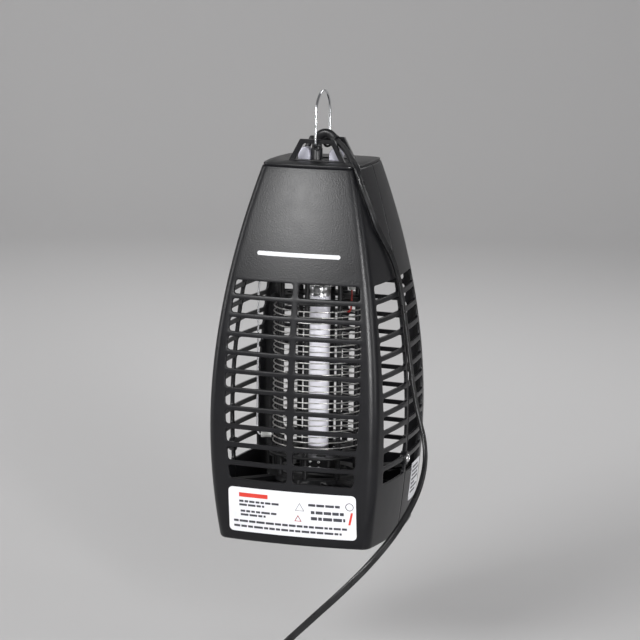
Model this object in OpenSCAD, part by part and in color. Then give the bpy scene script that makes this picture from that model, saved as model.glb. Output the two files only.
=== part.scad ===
// Electric bug zapper: a hanging lantern with a lamp inside a cage of live wires.
// The origin is where a hook bears inside the wire bail. +Z is up and -Y is the front.

/* [Housing] */
// Hanging point down to the top of the housing
cap_drop = 53; // [50:1:60]
// Height of the housing
housing_h = 294; // [290:1:300]
// Half width at the top edge
half_top = 40; // [38:0.5:43]
// Half width where the housing is widest
half_wide = 73.5; // [72:0.5:76]
// Half width at the bottom edge
half_base = 65.8; // [65:0.1:69]
// Depth of the widest level below the top
wide_depth = 200; // [190:5:210]
// How far each face falls back at its corners
face_bow = 4.6; // [3:0.2:6]
// Radius of the upright corners at the widest level
corner_r = 9; // [8:0.5:12]
// Wall thickness of the shells
wall = 2.2; // [1.8:0.1:2.6]

/* [Grille] */
// Rows of slots in each face
rows = 11; // [9:1:11]
// Depth of the first row's middle below the top
first_row_depth = 94.5; // [93:0.5:96]
// Distance from row to row
row_pitch = 14.4; // [14:0.1:14.5]
// Height of a slot
slot_h = 10.7; // [9:0.1:11]
// How far the middle row reaches from the centre of the face
slot_reach = 54.7; // [50:0.1:55]
// How much shorter the first and last rows are
reach_drop = 4; // [2:0.5:6]
// Width of the upright bar in the middle
bar_w = 5; // [4:0.5:6]
// Corner radius of a slot
slot_r = 2.4; // [1.5:0.1:3]

/* [Lamp and cage] */
// Diameter of the lamp tube
lamp_d = 16; // [15.5:0.1:16.5]
// Length of the lamp between its pins
lamp_l = 136; // [135:0.5:137]
// Radius of the wire cage
cage_r = 36; // [34:0.5:38]
// Distance from one hoop to the next
hoop_pitch = 4.5; // [4:0.1:5]
// Number of hoops, live and return together
hoops = 25; // [21:2:25]
// Diameter of the cage wire
cage_wire_d = 1; // [0.8:0.1:1.2]
// Number of posts that carry the hoops
post_count = 8; // [6:1:8]

/* [Hanging] */
// Diameter of the bail's wire
bail_d = 2; // [1.8:0.1:2.2]
// Half the distance between the bail's legs
bail_half = 18; // [17:0.5:19]
// Height of the eyelets' pin line above the housing
eyelet_rise = 12.5; // [11:0.5:13]
// Half the distance between the two lugs
lug_half = 13; // [12:0.5:14]
// Thickness of a lug
lug_t = 3; // [2.5:0.5:3.5]

/* [Tray] */
// Half width of the insect tray
tray_half = 54.6; // [52:0.2:54.6]
// Height of the tray
tray_h = 30; // [24:1:32]

/* [Cord] */
// Width of the flat cord
cord_w = 5.4; // [5:0.1:5.4]
// Thickness of the flat cord
cord_t = 3.2; // [3:0.1:3.2]

/* [Hidden] */

$fn = 48;
black = [0.03, 0.03, 0.035];
steel = [0.75, 0.76, 0.78];
white = [0.92, 0.92, 0.94];

// heights in the part's frame
top_z = -cap_drop;
base_z = top_z - housing_h;
eyelet_z = top_z + eyelet_rise;
function level(depth) = top_z - depth;

// cap and shells
cap_t = 2;
seam = 0.1;
levels = 11;
screw_depth = 232;
boss_r = 5.5;
screw_r = 1.5;

// inside
shelf_depth = 85;
shelf_t = 2;
cage_top_depth = 115;
plate_t = 2;
plate_top_depth = 108;
plate_bottom_depth = 230;
carrier_depth = 248;
carrier_t = 3;
lamp_top_depth = 99;
lamp_cap_l = 8;
post_r = 2;
post_ring_r = cage_r - cage_wire_d / 2 - post_r - 0.05;
column_at = 55;
column_r = 2.6;
board_depth = 70;
board_t = 1.6;
frame_t = 5;
tray_wall = 1.6;

// cord, where it lies
cord_x = -4.5;
spigot_r = 4.4;
surface_z = -456;
coil_at = [-16, -58];
coil_r_in = 23.4;
coil_r_out = 41.3;
coil_lift = 0.8;
coil_h = 6.5;
plug_axis_y = -21;
plug_t = 13.6;
plug_x = 40;
plug_l = 35.6;
boot_route = [[cord_x, 0, -44], [cord_x, 0, -40], [-3.6, -0.2, -36.2], [-1, -0.7, -33.2], [2.5, -1.2, -31.9],
  [6, -2, -32.3], [9.2, -3.2, -34], [12.4, -5, -36.4]];
cord_route = [
  [12.4, -5, -36.4], [17.4, -9, -39.2], [22, -14.5, -41.6], [27.5, -21.5, -44.6], [33.8, -30.5, -49.4],
  [37.6, -35, -51.2], [41, -38.2, -57], [44.2, -38.2, -66.5], [47.6, -35.5, -77], [50.5, -32.5, -87],
  [53.8, -30, -98],
  [57.5, -21, -111], [61.5, -11.5, -125], [64.8, -5, -141], [67.6, -2.5, -158], [70.2, -1.5, -175.5],
  [72.4, -1, -191.5], [74.6, -1, -207.5], [77, -1, -224], [80, -1, -240], [84, -2, -255],
  [88.5, -5, -269], [91.5, -12, -284], [92, -26, -300], [89, -46, -316], [82, -68, -333],
  [68, -86, -353], [50, -95, -373], [31, -98, -392], [13, -98.5, -410], [-4, -97.5, -427],
  [-20, -95, -440], [-34, -90, -448], [-45, -82, -450.3]
];
lead_route = [[-16, -19.7, -452.5], [-8, -19.8, -452], [0, -20.3, -450.8], [8, -20.8, -449.6],
  [14, plug_axis_y, -449.2]];
tail_route = [[cord_x, 0, -44.1], [cord_x, 0, -56], [-5, 1, -75], [-8, 4, -95], [-12, 10, -110],
  [-14, 12, -121]];
live_route = [[33, -24, -124.8], [33, -24, -130], [33.2, -24, -138], [33.2, -24, -150], [33.4, -24.3, -156],
  [33.2, -24.4, -160], [32.6, -23.7, -165.5], [31.2, -22.7, -167.6], [29.75, -21.6, -168]];
return_route = [[-38, -18, -124.8], [-38, -18, -127.5], [-39.5, -18, -131.5], [-42.5, -18, -136],
  [-43, -18, -140], [-44, -18.2, -147], [-45, -18.5, -155], [-45, -18.5, -262], [-44.7, -18.4, -268],
  [-43.6, -18.05, -271], [-42.3, -17.5, -271.5], [-33.95, -14.06, -271.5]];

// half width of the housing at a depth below its top
function half_at(depth) =
  depth < wide_depth
    ? half_wide - (half_wide - half_top) * pow((wide_depth - depth) / wide_depth, 1.9)
    : half_wide - (half_wide - half_base) * pow((depth - wide_depth) / (housing_h - wide_depth), 2);

// one closed outline of the housing: four bowed faces and four round corners that continue their slope
function bow_of(half) = face_bow * half / half_wide;
function radius_of(half) = corner_r * (0.5 + 0.5 * half / half_wide);
function turned(p, quarter) =
  quarter == 0 ? p : quarter == 1 ? [-p[1], p[0]] : quarter == 2 ? [-p[0], -p[1]] : [p[1], -p[0]];
function outline(half, inset = 0) =
  let (
    full_r = radius_of(half),
    start = atan(2 * bow_of(half) / (half - bow_of(half) - 0.83 * full_r)),
    centre = half - bow_of(half) - full_r * cos(start),
    r = full_r - inset,
    flat = centre + r * sin(start),
    fall = half - inset - centre - r * cos(start)
  )
  [for (quarter = [0:3]) each concat(
    [for (i = [-3:3]) turned([flat * i / 3, -(half - inset - fall * pow(i / 3, 2))], quarter)],
    [for (j = [1:3]) let (a = start + j * (90 - 2 * start) / 4)
      turned([centre + r * sin(a), -(centre + r * cos(a))], quarter)]
  )];

// solid between two depths whose sections are the housing's outline, moved inwards by inset
module loft(depth_a, depth_b, inset, steps = levels) {
  rings = [for (i = [0:steps]) let (d = depth_b + (depth_a - depth_b) * i / steps)
    [for (p = outline(half_at(d), inset)) [p[0], p[1], level(d)]]];
  n = len(rings[0]);
  points = [for (ring = rings) each ring];
  sides = [for (i = [0:steps - 1], j = [0:n - 1]) each let (a = i * n + j, b = i * n + (j + 1) % n)
    [[a, a + n, b], [b, a + n, b + n]]];
  bottom = [[for (j = [0:n - 1]) j]];
  top = [[for (j = [n - 1:-1:0]) steps * n + j]];
  polyhedron(points, concat(bottom, sides, top));
}

// points of a tube along a route; the section is w wide and t thick, its thin side faces outwards
function unit(v) = v / norm(v);
function heading(route, i) =
  unit(route[min(i + 1, len(route) - 1)] - route[max(i - 1, 0)]);
function outwards(p) =
  let (high = max(0, min(1, (p[2] + 75) / 25)), low = max(0, min(1, (-400 - p[2]) / 45)))
  [p[0], p[1], 90 * high + 150 * low];
function ring_at(route, i, w, t, sides, thin) =
  let (
    along = heading(route, i),
    across = unit(cross(along, is_undef(thin) ? outwards(route[i]) : thin)),
    out = cross(across, along),
    grow = 1 / cos(180 / sides)
  )
  [for (j = [0:sides - 1]) let (a = (j + 0.5) * 360 / sides)
    route[i] + across * (w / 2 * grow * cos(a)) + out * (t / 2 * grow * sin(a))];
module tube(route, w, t, sides = 8, w_end = 0, t_end = 0, thin = undef) {
  last = len(route) - 1;
  rings = [for (i = [0:last]) let (
      we = w_end > 0 ? w + (w_end - w) * i / last : w,
      te = t_end > 0 ? t + (t_end - t) * i / last : t
    ) ring_at(route, i, we, te, sides, thin)];
  walls = [for (i = [0:last - 1], j = [0:sides - 1]) each
    let (a = i * sides + j, b = i * sides + (j + 1) % sides) [[a, a + sides, b], [b, a + sides, b + sides]]];
  ends = [[for (j = [0:sides - 1]) j], [for (j = [sides - 1:-1:0]) last * sides + j]];
  polyhedron([for (ring = rings) each ring], concat(walls, ends));
}

// round lead along a route that keeps clear of the Y direction
module wire(route, d) {
  tube(route, d, d, thin = [0, 1, 0]);
}

// rectangle with round corners, centred on the origin
module round_rect(w, h, r) {
  square([w - 2 * r, h], center = true);
  square([w, h - 2 * r], center = true);
  for (x = [-1, 1], y = [-1, 1]) translate([x * (w / 2 - r), y * (h / 2 - r)]) circle(r, $fn = 24);
}

// the slots of one face, both columns
function row_depth(row) = first_row_depth + row_pitch * row;
function row_reach(row) = slot_reach - reach_drop * pow((row - (rows - 1) / 2) / ((rows - 1) / 2), 2);
module face_slots() {
  cut = half_wide - 30;
  for (row = [0:rows - 1], side = [-1, 1]) {
    w = row_reach(row) - bar_w / 2;
    translate([side * (bar_w / 2 + w / 2), -30, level(row_depth(row))])
      rotate([90, 0, 0])
        linear_extrude(cut + 10) round_rect(w, slot_h, slot_r);
  }
}
module screw_bosses(r) {
  for (side = [-1, 1])
    translate([side * (half_at(screw_depth) - wall - 1.5), 0, level(screw_depth)])
      rotate([0, side * 90, 0]) cylinder(r = r, h = wall + 2.5);
}
module screw_holes() {
  translate([-half_wide - 10, 0, level(screw_depth)])
    rotate([0, 90, 0]) cylinder(r = screw_r + 0.1, h = 2 * half_wide + 20);
}
// the shells meet in the middle of the side faces; the front one carries the screw bosses
module shell_half(side) {
  intersection() {
    difference() {
      loft(cap_t + seam, housing_h, 0);
      loft(cap_t - 1, housing_h + 1, wall);
      for (quarter = [0:3]) rotate([0, 0, 90 * quarter]) face_slots();
    }
    translate([-100, side < 0 ? -100 : 0, base_z - 5]) cube([200, 100, housing_h + 10]);
  }
}
module front_shell() {
  color(black) difference() {
    union() {
      shell_half(-1);
      screw_bosses(boss_r);
    }
    screw_holes();
  }
}
module rear_shell() {
  color(black) difference() {
    shell_half(1);
    screw_bosses(boss_r + 0.1);
  }
}

// screw whose axis runs along +X with the underside of its head at x = 0
module side_screw(head_r, head_h, shank_l) {
  difference() {
    rotate([0, 90, 0]) rotate_extrude()
      polygon([[0, 0], [head_r, 0], for (a = [0:15:90]) [head_r * cos(a), 0.4 + (head_h - 0.4) * sin(a)]]);
    for (turn = [0, 90]) rotate([turn, 0, 0])
      translate([head_h / 2, -0.4, -head_r * 0.6]) cube([head_h, 0.8, head_r * 1.2]);
  }
  rotate([0, -90, 0]) cylinder(r = screw_r, h = shank_l);
}
module shell_screws() {
  color(steel) for (side = [0, 1]) rotate([0, 0, 180 * side])
    translate([half_at(screw_depth) + 1, 0, level(screw_depth)]) side_screw(3.25, 2, 5.5);
}

// top cap with two pierced lugs and the spigot that the cord's boot stands on
module lug_profile() {
  lug_h = 17;
  foot = 23;
  crown = 14;
  eyelet_h = eyelet_rise - 0.7;
  window_side = [[9.4, 13.8], [10.6, 13.6], [11.7, 12.9], [12.46, 11.6], [18.2, 0.8]];
  difference() {
    union() {
      difference() {
        polygon([[-foot, 0], [foot, 0], [crown, lug_h], [-crown, lug_h]]);
        polygon(concat(window_side, [for (i = [4:-1:0]) [-window_side[i][0], window_side[i][1]]]));
      }
      translate([0, eyelet_h]) circle(3.4);
    }
    translate([0, eyelet_h]) circle(1.8);
  }
}
module top_cap() {
  color(black) {
    difference() {
      union() {
        translate([0, 0, level(cap_t)]) linear_extrude(cap_t) polygon(outline(half_top));
        translate([0, 0, level(cap_t + 4)]) linear_extrude(4 + seam) polygon(outline(half_top - 1, wall));
        translate([cord_x, 0, level(cap_t / 2)]) cylinder(r = spigot_r, h = cap_t / 2 + 8.9);
      }
      translate([0, 0, level(cap_t + 5)]) linear_extrude(5) polygon(outline(half_top - 1, wall + 2));
      translate([cord_x, 0, level(cap_t + 1)]) cylinder(r = 2.8, h = cap_t + 12);
    }
    for (side = [-1, 1])
      translate([0, side * lug_half + lug_t / 2, top_z]) rotate([90, 0, 0]) linear_extrude(lug_t) lug_profile();
  }
}

// wire bail: an arch, two legs and two hooked ends that pass through the eyelets
module hanging_bail() {
  arch_z = bail_d / 2 - bail_half;
  bend = 2.5;
  color(steel) {
    translate([0, 0, arch_z]) rotate([90, 0, 90])
      rotate_extrude(angle = 180) translate([bail_half, 0]) circle(d = bail_d, $fn = 24);
    for (side = [0, 180]) rotate([0, 0, side]) {
      translate([0, bail_half, eyelet_z + bend])
        cylinder(d = bail_d, h = arch_z - eyelet_z - bend, $fn = 24);
      translate([0, bail_half - bend, eyelet_z + bend]) rotate([90, 0, 90]) rotate([0, 0, -90])
        rotate_extrude(angle = 90) translate([bend, 0]) circle(d = bail_d, $fn = 24);
      translate([0, lug_half - 4, eyelet_z]) rotate([-90, 0, 0])
        cylinder(d = bail_d, h = bail_half - bend - lug_half + 4, $fn = 24);
    }
  }
}

// two round-headed pillars beside the cord
module cord_clamp() {
  pillar_r = 4.8;
  color([0.62, 0.62, 0.68]) for (x = [-13.8, 11.5])
    translate([x, 4.5, top_z]) rotate([90, 0, 0]) linear_extrude(9) {
      translate([-pillar_r, 0]) square([2 * pillar_r, pillar_r]);
      translate([0, pillar_r]) circle(pillar_r);
    }
}
module cord_gland() {
  color(black) tube(boot_route, 7.8, 7.8, 8, cord_w + 1.2, cord_t + 1.4);
}
module cord_tail() {
  color(black) wire(tail_route, cord_w - 0.4);
}
module power_cord() {
  color(black) tube(cord_route, cord_w, cord_t);
}
module cord_coil() {
  color(black) translate([coil_at[0], coil_at[1], surface_z + coil_lift])
    difference() {
      cylinder(r = coil_r_out, h = coil_h, $fn = 64);
      translate([0, 0, -1]) cylinder(r = coil_r_in, h = coil_h + 2, $fn = 64);
    }
}
module cord_tie() {
  gap = 0.1;
  t = 0.6;
  room = 0.5;
  inner_l = coil_r_out - coil_r_in + 2 * (gap + room);
  color(white) translate([coil_at[0], coil_at[1], surface_z + coil_lift]) rotate([0, 0, -20])
    difference() {
      translate([coil_r_in - gap - room - t, -4, -gap - t]) cube([inner_l + 2 * t, 8, coil_h + 2 * (gap + t)]);
      translate([coil_r_in - gap - room, -5, -gap]) cube([inner_l, 10, coil_h + 2 * gap]);
    }
}
module plug_lead() {
  color(black) tube(lead_route, cord_w, cord_t);
}
module plug_body() {
  color(black) translate([0, plug_axis_y, surface_z]) {
    translate([14, 0, plug_t / 2]) rotate([0, 90, 0]) cylinder(r1 = 3.4, r2 = 5, h = plug_x - 14);
    translate([plug_x, 0, 0]) linear_extrude(plug_t)
      polygon([[0, -6.5], [9, -12], [plug_l - 14, -17.6], [plug_l, -17.6],
        [plug_l, 17.6], [plug_l - 14, 17.6], [9, 12], [0, 6.5]]);
    for (side = [-1, 1]) translate([plug_x + plug_l, side * 9.3, plug_t / 2]) rotate([0, 90, 0])
      cylinder(r = 1.9, h = 9.5);
  }
}
module plug_pins() {
  color(steel) for (side = [-1, 1])
    translate([plug_x + plug_l + 9.5, plug_axis_y + side * 9.3, surface_z + plug_t / 2])
      rotate([0, 90, 0]) {
        cylinder(r = 2, h = 8);
        translate([0, 0, 8]) cylinder(r1 = 2, r2 = 1, h = 1.5);
      }
}

// ring that closes the bottom, with four columns up to the carrier
module base_frame() {
  color(black) {
    difference() {
      translate([0, 0, base_z]) linear_extrude(frame_t) polygon(outline(half_base, wall + 0.1));
      translate([0, 0, base_z - 1]) linear_extrude(frame_t + 2)
        round_rect(2 * (tray_half + 0.4), 2 * (tray_half + 0.4), 8);
    }
    for (x = [-1, 1], y = [-1, 1])
      translate([x * column_at, y * column_at, base_z + frame_t])
        difference() {
          cylinder(r = column_r, h = level(carrier_depth + carrier_t) - base_z - frame_t);
          translate([0, 0, 24]) cylinder(r = 1, h = 30);
        }
  }
}
module insect_tray() {
  color(black) difference() {
    translate([0, 0, base_z]) linear_extrude(tray_h) round_rect(2 * tray_half, 2 * tray_half, 7.6);
    translate([0, 0, base_z + 2]) linear_extrude(tray_h)
      round_rect(2 * (tray_half - tray_wall), 2 * (tray_half - tray_wall), 6);
    // finger recess under the tray
    translate([0, -tray_half + 14, base_z - 1]) linear_extrude(2) round_rect(40, 14, 4);
  }
}

// open carrier under the cage
module cage_carrier() {
  z = level(carrier_depth + carrier_t);
  color(black) difference() {
    union() {
      translate([0, 0, z]) difference() {
        cylinder(r = cage_r + 4, h = carrier_t);
        translate([0, 0, -1]) cylinder(r = cage_r - 7, h = carrier_t + 2);
      }
      for (turn = [45:90:315]) rotate([0, 0, turn])
        translate([cage_r, -4, z]) cube([column_at * sqrt(2) - cage_r + 2, 8, carrier_t]);
      translate([-cage_r, -6, z]) cube([2 * cage_r, 12, carrier_t]);
    }
    for (x = [-1, 1], y = [-1, 1]) translate([x * column_at, y * column_at, z - 1])
      cylinder(r = 1.3, h = carrier_t + 2);
    for (i = [0:post_count - 1]) rotate([0, 0, i * 360 / post_count])
      translate([post_ring_r, 0, z - 1]) cylinder(r = post_r - 0.5, h = carrier_t + 2, $fn = 24);
  }
}
module carrier_screws() {
  color(steel) for (x = [-1, 1], y = [-1, 1])
    translate([x * column_at, y * column_at, level(carrier_depth)]) rotate([0, -90, 0])
      down_screw();
}
module down_screw() {
  side_screw(2.2, 1.4, 0.01);
  rotate([0, -90, 0]) cylinder(r = 0.95, h = 9, $fn = 24);
}

// the cage
module grid_plate(depth) {
  translate([0, 0, level(depth + plate_t)]) difference() {
    cylinder(r = cage_r + 3, h = plate_t);
    translate([0, 0, -1]) cylinder(r = 20, h = plate_t + 2);
    for (i = [0:post_count - 1]) rotate([0, 0, i * 360 / post_count])
      translate([post_ring_r, 0, -1]) cylinder(r = post_r + 0.05, h = plate_t + 2, $fn = 24);
    for (i = [0:post_count - 1]) rotate([0, 0, (i + 0.5) * 360 / post_count])
      translate([29, 0, -1]) cylinder(r = 4, h = plate_t + 2, $fn = 24);
  }
}
module grid_plate_top() {
  color(black) grid_plate(plate_top_depth);
}
module grid_plate_bottom() {
  color(black) grid_plate(plate_bottom_depth);
}
module grid_posts() {
  color(black) for (i = [0:post_count - 1]) rotate([0, 0, i * 360 / post_count])
    translate([post_ring_r, 0, level(carrier_depth)])
      cylinder(r = post_r, h = carrier_depth - shelf_depth - shelf_t, $fn = 24);
}
module hoop_set(first) {
  color(steel) for (i = [first:2:hoops - 1]) translate([0, 0, level(cage_top_depth + hoop_pitch * i)])
    rotate_extrude($fn = 72) translate([cage_r, 0]) circle(d = cage_wire_d, $fn = 16);
}
module grid_wires_live() {
  hoop_set(0);
}
module grid_wires_return() {
  hoop_set(1);
}

// the lamp and its holders
module lamp_tube() {
  color([0.93, 0.93, 0.97]) translate([0, 0, level(lamp_top_depth + lamp_l - lamp_cap_l)])
    cylinder(d = lamp_d, h = lamp_l - 2 * lamp_cap_l);
}
module lamp_caps() {
  color(steel) for (depth = [lamp_top_depth + lamp_cap_l, lamp_top_depth + lamp_l])
    translate([0, 0, level(depth)]) cylinder(d = lamp_d + 0.2, h = lamp_cap_l);
}
module lamp_pins() {
  color(steel) for (depth = [lamp_top_depth, lamp_top_depth + lamp_l + 7], x = [-2.5, 2.5])
    translate([x, 0, level(depth)]) cylinder(r = 1.15, h = 7, $fn = 24);
}
module holder(depth_a, depth_b) {
  translate([0, 0, level(depth_b)]) difference() {
    linear_extrude(depth_b - depth_a) round_rect(26, 18, 3);
    for (x = [-2.5, 2.5]) translate([x, 0, -1]) cylinder(r = 1.25, h = depth_b - depth_a + 2, $fn = 24);
  }
}
module lamp_holder_top() {
  color(white) holder(shelf_depth + shelf_t, lamp_top_depth - 0.5);
}
module lamp_holder_bottom() {
  color(black) holder(lamp_top_depth + lamp_l + 0.5, carrier_depth);
}
module holder_rivets() {
  color(steel) for (x = [-3.5, 3.5], depth = [239.5, 244])
    translate([x, -9, level(depth)]) rotate([90, 0, 0]) {
      cylinder(r = 1.1, h = 0.5, $fn = 24);
      translate([0, 0, 0.5]) cylinder(r1 = 1.1, r2 = 0.5, h = 0.4, $fn = 24);
    }
}

// the electronics above the cage
module electronics_shelf() {
  color(black) {
    difference() {
      translate([0, 0, level(shelf_depth + shelf_t)])
        linear_extrude(shelf_t) polygon(outline(half_at(shelf_depth), wall + 0.3));
      for (p = [[33, -24], [-43, -18]]) translate([p[0], p[1], level(shelf_depth + shelf_t + 1)])
        cylinder(r = 3, h = shelf_t + 2);
    }
    for (x = [-37, 37], y = [-30, 30]) translate([x, y, level(shelf_depth)]) difference() {
      cylinder(r = 3, h = shelf_depth - board_depth - board_t);
      translate([0, 0, 4]) cylinder(r = 1, h = 20, $fn = 24);
    }
  }
}
module circuit_board() {
  color([0.35, 0.45, 0.25]) translate([0, 0, level(board_depth + board_t)]) difference() {
    linear_extrude(board_t) round_rect(84, 70, 2);
    for (x = [-37, 37], y = [-30, 30]) translate([x, y, -1]) cylinder(r = 1.3, h = 4, $fn = 24);
  }
}
module board_screws() {
  color(steel) for (x = [-37, 37], y = [-30, 30]) translate([x, y, level(board_depth)])
    rotate([0, -90, 0]) down_screw();
}
module ballast_core() {
  color([0.4, 0.4, 0.42]) translate([16, 8, level(board_depth)]) difference() {
    translate([-17, -8, 0]) cube([34, 16, 28]);
    for (x = [-11.5, 5.5]) translate([x, -9, 6]) cube([6, 18, 16]);
  }
}
module ballast_coil() {
  color([0.72, 0.42, 0.2]) translate([16, 8, level(board_depth) + 6.1]) difference() {
    linear_extrude(15.8) round_rect(22.8, 27, 4);
    translate([0, 0, -1]) linear_extrude(18) round_rect(11.2, 16.2, 0.5);
  }
}
module capacitors() {
  color([0.75, 0.4, 0.1]) for (p = [[-28, 20], [-28, 4], [-28, -12]])
    translate([p[0], p[1], level(board_depth)]) cylinder(r = 6, h = 20);
}
module resistors() {
  color([0.75, 0.65, 0.45]) for (y = [-18, -25])
    translate([-4, y, level(board_depth) + 2.5]) rotate([0, 90, 0]) cylinder(r = 2.4, h = 14);
}
module diodes() {
  color([0.15, 0.15, 0.16]) for (x = [17, 23, 29, 35])
    translate([x, -26, level(board_depth) + 1.6]) rotate([-90, 0, 0]) cylinder(r = 1.5, h = 8);
}
module live_lead() {
  color([0.8, 0.1, 0.1]) wire(live_route, 1.4);
}
module return_lead() {
  color([0.75, 0.75, 0.78]) wire(return_route, 1.4);
}
module sleeve(r, bore, l) {
  difference() {
    cylinder(r = r, h = l, $fn = 24);
    translate([0, 0, -1]) cylinder(r = bore, h = l + 2, $fn = 24);
  }
}
module lead_sleeves() {
  color(white) {
    translate([33.2, -24, -150]) sleeve(2.6, 1.7, 12);
    rotate([0, 0, 202.5]) translate([37.5, 0, -271.5]) rotate([0, 90, 0]) sleeve(2.4, 1.2, 8);
  }
}

// labels: thin sheets that follow the wall
module wall_sheet(depth_a, depth_b) {
  difference() {
    loft(depth_a, depth_b, -0.35, 3);
    loft(depth_a - 1, depth_b + 1, -0.05, 3);
  }
}
module front_label() {
  color(white) intersection() {
    wall_sheet(250.3, 286.3);
    translate([0.75, -40, level(268.3)]) rotate([90, 0, 0]) linear_extrude(60) round_rect(103.5, 36, 3.5);
  }
}
module side_label() {
  color(white) intersection() {
    wall_sheet(241, 272);
    translate([40, 37, level(256.5)]) rotate([90, 0, 90]) linear_extrude(60) round_rect(32, 31, 2.5);
  }
}

front_shell();
rear_shell();
top_cap();
hanging_bail();
shell_screws();
cord_clamp();
cord_gland();
cord_tail();
power_cord();
cord_coil();
cord_tie();
plug_lead();
plug_body();
plug_pins();
base_frame();
insect_tray();
cage_carrier();
carrier_screws();
grid_plate_top();
grid_plate_bottom();
grid_posts();
grid_wires_live();
grid_wires_return();
lamp_tube();
lamp_caps();
lamp_pins();
lamp_holder_top();
lamp_holder_bottom();
holder_rivets();
electronics_shelf();
circuit_board();
board_screws();
ballast_core();
ballast_coil();
capacitors();
resistors();
diodes();
live_lead();
return_lead();
lead_sleeves();
front_label();
side_label();
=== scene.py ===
# %% [markdown]
# # Electric bug zapper
#
# A black plastic lantern hangs from a wire bail. Behind its grille stands a small
# fluorescent lamp, and round the lamp runs a cage of fine live wires. The frame that is
# loaded first holds every size, so each piece below is made in its place around it.

# %% Load the frame
import math
import random

import bmesh
import bpy
import numpy as np
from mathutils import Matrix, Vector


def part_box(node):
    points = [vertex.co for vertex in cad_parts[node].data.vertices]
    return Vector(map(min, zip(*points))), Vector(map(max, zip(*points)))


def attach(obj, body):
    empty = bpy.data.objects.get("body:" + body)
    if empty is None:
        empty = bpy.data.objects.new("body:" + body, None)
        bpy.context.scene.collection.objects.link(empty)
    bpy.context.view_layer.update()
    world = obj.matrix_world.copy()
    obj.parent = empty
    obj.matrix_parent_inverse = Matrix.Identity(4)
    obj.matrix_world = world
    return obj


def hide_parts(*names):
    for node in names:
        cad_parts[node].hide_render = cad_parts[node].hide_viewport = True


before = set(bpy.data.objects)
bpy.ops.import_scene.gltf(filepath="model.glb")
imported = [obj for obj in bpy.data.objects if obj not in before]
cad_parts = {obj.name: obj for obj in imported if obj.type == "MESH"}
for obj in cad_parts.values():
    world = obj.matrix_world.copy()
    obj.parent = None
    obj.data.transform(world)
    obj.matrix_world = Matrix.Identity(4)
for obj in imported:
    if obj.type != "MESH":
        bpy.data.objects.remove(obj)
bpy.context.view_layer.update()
MM = 0.001

# %% [markdown]
# ## The shape of the housing
#
# The housing is a square lantern with bowed faces. One rule gives its half width at any
# depth below the top, and a second gives the outline at that width: a face that falls back
# towards its ends, and a round corner that starts at the face's own slope. Every shell,
# label and screw boss is placed with these two rules, so they all fit each other.

# %% Sizes that the pieces share, in millimetres
CAP_T = 2.0
SEAM = 0.1
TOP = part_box("front_shell")[1][2] / MM + CAP_T + SEAM
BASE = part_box("front_shell")[0][2] / MM
HEIGHT = TOP - BASE
HALF_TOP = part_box("top_cap")[1][0] / MM
HALF_WIDE = 73.5
HALF_BASE = 65.8
WIDE_DEPTH = 200.0
FACE_BOW = 4.6
CORNER_R = 9.0
WALL = 2.2
SCREW_DEPTH = 232.0
NARROWING = 1.9     # power of the upper sides' curve
CORNER_SHARE = 0.83  # of the corner's radius, where the face's slope is taken over


def half_at(depth):
    """Half width of the housing at a depth below its top."""
    if depth < WIDE_DEPTH:
        return HALF_WIDE - (HALF_WIDE - HALF_TOP) * ((WIDE_DEPTH - depth) / WIDE_DEPTH) ** NARROWING
    below = (depth - WIDE_DEPTH) / (HEIGHT - WIDE_DEPTH)
    return HALF_WIDE - (HALF_WIDE - HALF_BASE) * below**2


def plan(depth):
    """Half width, corner radius and centre, the angle where the corner starts, and the face's end."""
    half = half_at(min(max(depth, 0), HEIGHT))
    bow = FACE_BOW * half / HALF_WIDE
    radius = CORNER_R * (0.5 + 0.5 * half / HALF_WIDE)
    start = math.atan(2 * bow / (half - bow - CORNER_SHARE * radius))
    flat = half - bow - radius * (math.cos(start) - math.sin(start))
    return half, radius, flat - radius * math.sin(start), start, flat


def reach(depth):
    """Distance along the outline from a face's middle to the middle of its corner."""
    half, radius, centre, start, flat = plan(depth)
    return flat + radius * (math.pi / 4 - start)


def skin(face, along, depth, inset=0.0):
    """Point on the housing: face 0 is the front, then right, back, left."""
    half, radius, centre, start, flat = plan(depth)
    r = radius - inset
    side = math.copysign(1, along)
    run = abs(along)
    if run <= flat:
        end = centre + r * math.sin(start)
        x = run * end / flat
        drop = (half - inset - centre - r * math.cos(start)) * (x / end) ** 2
        y = -(half - inset - drop)
    else:
        turn = start + (run - flat) / radius
        x = centre + r * math.sin(turn)
        y = -(centre + r * math.cos(turn))
    x *= side
    quarter = [(x, y), (-y, x), (-x, -y), (y, -x)][face]
    return quarter[0], quarter[1], TOP - depth


print("housing", round(HEIGHT), "mm tall, half widths", HALF_TOP, HALF_WIDE, HALF_BASE)

# %% [markdown]
# ## Camera
#
# The camera stands a little above the middle of the housing, to the right of its front, and
# uses a long lens, so that the upright lines stay almost parallel.

# %% Camera
AZIMUTH, PITCH, DISTANCE, ROLL = 17.6, 9.7, 2.362, 0.85
LOOK_AT = (0.0, 0.0, -0.180)

camera_data = bpy.data.cameras.new("camera")
camera_data.sensor_width = 36
camera_data.lens = 168.75
camera_data.clip_end = 50
camera = bpy.data.objects.new("camera", camera_data)
bpy.context.collection.objects.link(camera)
azimuth, pitch = math.radians(AZIMUTH), math.radians(PITCH)
camera.location = (
    LOOK_AT[0] + DISTANCE * math.sin(azimuth) * math.cos(pitch),
    LOOK_AT[1] - DISTANCE * math.cos(azimuth) * math.cos(pitch),
    LOOK_AT[2] + DISTANCE * math.sin(pitch),
)
camera.rotation_mode = "XYZ"
camera.rotation_euler = (math.pi / 2 - pitch, 0, azimuth)
camera.rotation_euler.rotate_axis("Z", math.radians(ROLL))
bpy.context.scene.camera = camera
print("camera", round(DISTANCE, 2), "m away")

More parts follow.
